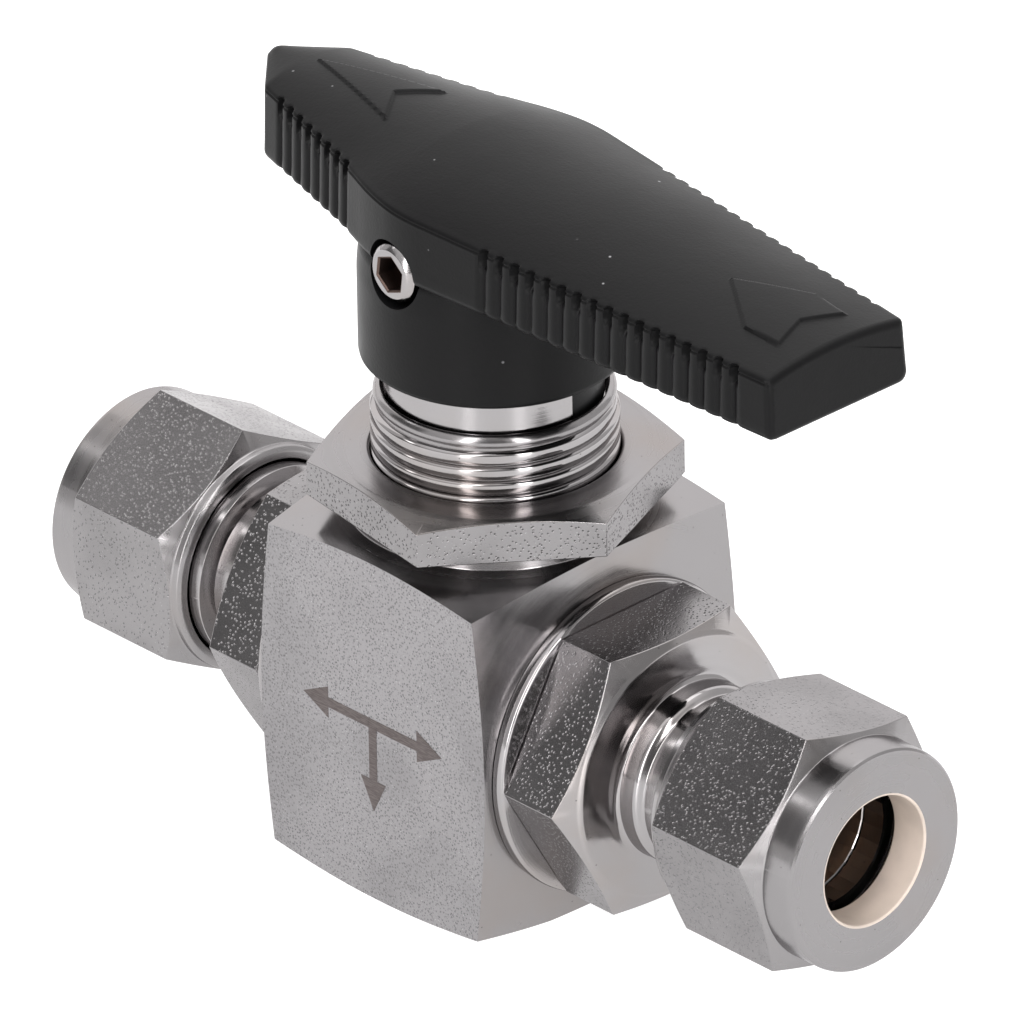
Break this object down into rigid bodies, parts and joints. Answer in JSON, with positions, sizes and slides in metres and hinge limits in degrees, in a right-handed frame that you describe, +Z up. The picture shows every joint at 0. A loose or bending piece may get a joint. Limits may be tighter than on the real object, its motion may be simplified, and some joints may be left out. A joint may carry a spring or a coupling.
{
  "type": "three way ball valve",
  "caption": "Block-bodied three way ball valve with opposed tube fittings, a threaded bottom port, a panel nut and a black pointer lever that turns half a turn.",
  "frame": {"origin": "middle of the flat bottom face, on the stem axis", "axes": "+X along the two tube ports, away from the short arm of the handle; +Z up the stem; -Y is the plain flat face with the flow symbol"},
  "size_m": [0.0816, 0.0268, 0.0605],
  "materials": {
    "body_steel": "satin stainless steel, turned shoulders, finely pitted flats",
    "nut_steel": "cold-drawn hexagon flats with fine dark pits, turned ends",
    "bright_steel": "bright turned stainless steel",
    "ring_steel": "turned stainless steel",
    "spring_steel": "hardened stainless spring steel",
    "black_nylon": "satin moulded nylon",
    "ptfe": "white PTFE",
    "elastomer": "black O-ring rubber"
  },
  "bodies": {
    "valve": {"valve_body": "body_steel", "end_connector_left": "bright_steel", "end_connector_right": "bright_steel", "front_ferrule_left": "ring_steel", "front_ferrule_right": "ring_steel", "back_ferrule_left": "ring_steel", "back_ferrule_right": "ring_steel", "seat_left": "ptfe", "seat_right": "ptfe", "seat_support_left": "ring_steel", "seat_support_right": "ring_steel", "body_seal_left": "elastomer", "body_seal_right": "elastomer", "stem_thrust_washer": "ptfe", "stem_packing_lower": "ptfe", "stem_packing_upper": "ptfe", "packing_gland": "ring_steel", "disc_spring_lower": "spring_steel", "disc_spring_upper": "spring_steel", "packing_nut": "ring_steel", "stop_collar": "bright_steel"},
    "rotor": {"handle": "black_nylon", "handle_set_screw": "bright_steel", "stem": "bright_steel", "ball": "bright_steel"},
    "left_nut": {"tube_nut_left": "nut_steel"},
    "right_nut": {"tube_nut_right": "nut_steel"},
    "mounting_nut": {"panel_nut": "nut_steel"}
  },
  "joints": [
    {"name": "handle_turn", "type": "hinge", "parent": "valve", "child": "rotor", "pos_m": [0, 0, 0.0143], "axis": [0, 0, 1], "range_deg": [0, 180]},
    {"name": "left_nut_turn", "type": "hinge", "parent": "valve", "child": "left_nut", "pos_m": [-0.0323, 0, 0.0143], "axis": [-1, 0, 0], "continuous": true},
    {"name": "right_nut_turn", "type": "hinge", "parent": "valve", "child": "right_nut", "pos_m": [0.0323, 0, 0.0143], "axis": [1, 0, 0], "continuous": true},
    {"name": "panel_nut_turn", "type": "hinge", "parent": "valve", "child": "mounting_nut", "pos_m": [0, 0, 0.0327], "axis": [0, 0, 1], "continuous": true}
  ]
}
